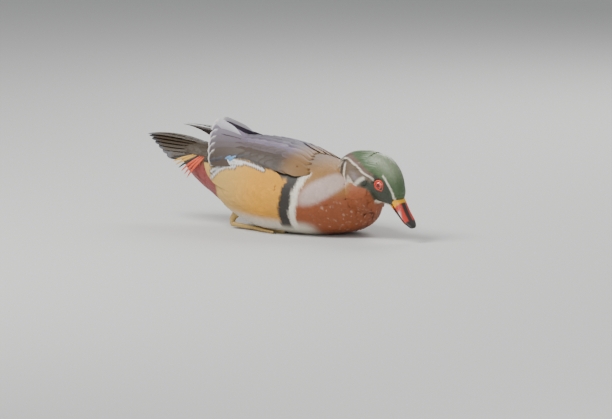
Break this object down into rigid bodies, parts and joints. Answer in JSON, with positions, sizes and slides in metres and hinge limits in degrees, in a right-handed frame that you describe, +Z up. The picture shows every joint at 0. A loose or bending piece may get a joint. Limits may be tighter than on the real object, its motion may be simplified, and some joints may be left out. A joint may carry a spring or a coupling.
{
  "type": "wood duck",
  "caption": "Life-size still model of a drake wood duck feeding low on its belly, with folded wings, a swept crest and a raised tail.",
  "frame": {"origin": "middle of the bird's length and width, on the floor it rests on", "axes": "+X towards the breast and head, +Y to the bird's left, +Z up"},
  "size_m": [0.382, 0.1306, 0.1227],
  "materials": {
    "torso": "chestnut breast and pale belly feathers",
    "neck": "pale pink and chestnut feathers",
    "head": "glossy green crown over dark cheeks with white lines",
    "crest": "glossy green and bronze feathers with white lines",
    "bill": "smooth horn, red at the sides with a yellow base line",
    "eye": "wet red eye with a black pupil",
    "wing": "grey-brown feathers with a bronze and blue sheen",
    "flank": "fine golden feathers with black and white edges",
    "tail": "dark brown feathers with a bronze sheen",
    "foot": "dull yellow scaled skin"
  },
  "bodies": {
    "root": {"torso": "torso", "neck": "neck", "head": "head", "crest": "crest", "bill_upper": "bill", "bill_lower": "bill", "eye_right": "eye", "eye_left": "eye", "wing_right": "wing", "wing_left": "wing", "flank_right": "flank", "flank_left": "flank", "tail": "tail", "foot_right": "foot", "foot_left": "foot"}
  },
  "joints": []
}
